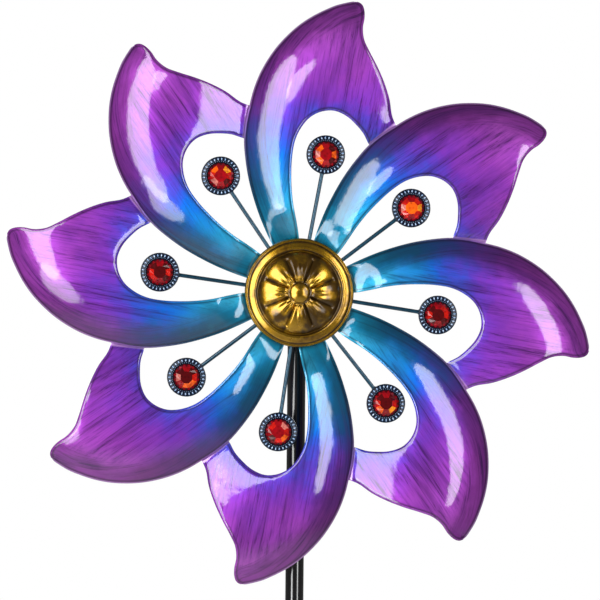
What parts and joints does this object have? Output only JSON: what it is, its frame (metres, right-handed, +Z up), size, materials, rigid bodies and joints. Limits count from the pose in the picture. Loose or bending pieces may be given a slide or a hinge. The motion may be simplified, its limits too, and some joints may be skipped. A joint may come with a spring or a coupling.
{
  "type": "wind spinner",
  "caption": "Garden wind spinner: a flower wheel of curved stamped petals with red jewels round a gold hub, on a swivelling head, slim black pole and ground fork.",
  "frame": {"origin": "on the pole's axis at ground level, at the middle of the underside of the lower fork bar", "axes": "+Z up along the pole; the wheel faces -Y and turns about Y; +X to the right of someone who looks at the wheel's face"},
  "size_m": [0.6004, 0.154, 1.9002],
  "materials": {
    "petal_paint": "translucent purple to blue to turquoise over bright metal, clear gloss",
    "stem_paint": "dark teal satin",
    "bezel_enamel": "dark navy with pale blue raised beads",
    "red_gem": "faceted, polished",
    "hub_gold": "metallic gold with dark antique wash",
    "steel": "plain",
    "zinc": "zinc plated",
    "bearing_steel": "ground and polished",
    "cage_brass": "plain",
    "black_enamel": "gloss black powder coat",
    "nylon": "moulded"
  },
  "bodies": {
    "root": {"upper_pole": "black_enamel", "middle_pole": "black_enamel", "lower_pole": "black_enamel", "top_bushing": "nylon", "bottom_bushing": "nylon", "retaining_screw": "zinc", "upper_joint_bolt": "zinc", "upper_joint_nut": "zinc", "lower_joint_bolt": "zinc", "lower_joint_nut": "zinc", "fork_bar_side_to_side": "black_enamel", "fork_bar_front_to_back": "black_enamel", "fork_post": "black_enamel", "fork_bolt": "zinc"},
    "head": {"bearing_housing": "black_enamel", "swivel_spindle": "steel", "outer_race_front": "bearing_steel", "outer_race_rear": "bearing_steel"},
    "wheel": {"petal_1": "petal_paint", "petal_2": "petal_paint", "petal_3": "petal_paint", "petal_4": "petal_paint", "petal_5": "petal_paint", "petal_6": "petal_paint", "petal_7": "petal_paint", "petal_8": "petal_paint", "stem_1": "stem_paint", "stem_2": "stem_paint", "stem_3": "stem_paint", "stem_4": "stem_paint", "stem_5": "stem_paint", "stem_6": "stem_paint", "stem_7": "stem_paint", "stem_8": "stem_paint", "bezel_1": "bezel_enamel", "bezel_2": "bezel_enamel", "bezel_3": "bezel_enamel", "bezel_4": "bezel_enamel", "bezel_5": "bezel_enamel", "bezel_6": "bezel_enamel", "bezel_7": "bezel_enamel", "bezel_8": "bezel_enamel", "jewel_1": "red_gem", "jewel_2": "red_gem", "jewel_3": "red_gem", "jewel_4": "red_gem", "jewel_5": "red_gem", "jewel_6": "red_gem", "jewel_7": "red_gem", "jewel_8": "red_gem", "hub_cap": "hub_gold", "hub_plate": "steel", "axle": "steel", "bearing_spacer": "zinc", "inner_race_front": "bearing_steel", "inner_race_rear": "bearing_steel", "axle_washer": "zinc", "axle_nut": "zinc"},
    "front_cage": {"ball_cage_front": "cage_brass"},
    "rear_cage": {"ball_cage_rear": "cage_brass"}
  },
  "joints": [
    {"name": "head_swivel", "type": "hinge", "parent": "root", "child": "head", "pos_m": [0, 0, 1.415], "axis": [0, 0, 1], "continuous": true},
    {"name": "wheel_spin", "type": "hinge", "parent": "head", "child": "wheel", "pos_m": [0, -0.04, 1.415], "axis": [0, -1, 0], "continuous": true},
    {"name": "front_cage_spin", "type": "hinge", "parent": "head", "child": "front_cage", "pos_m": [0, -0.0282, 1.415], "axis": [0, -1, 0], "continuous": true},
    {"name": "rear_cage_spin", "type": "hinge", "parent": "head", "child": "rear_cage", "pos_m": [0, 0.0202, 1.415], "axis": [0, -1, 0], "continuous": true}
  ],
  "couplings": [
    {"joint": "front_cage_spin", "follows": "wheel_spin", "ratio": 0.3907},
    {"joint": "rear_cage_spin", "follows": "wheel_spin", "ratio": 0.3907}
  ]
}
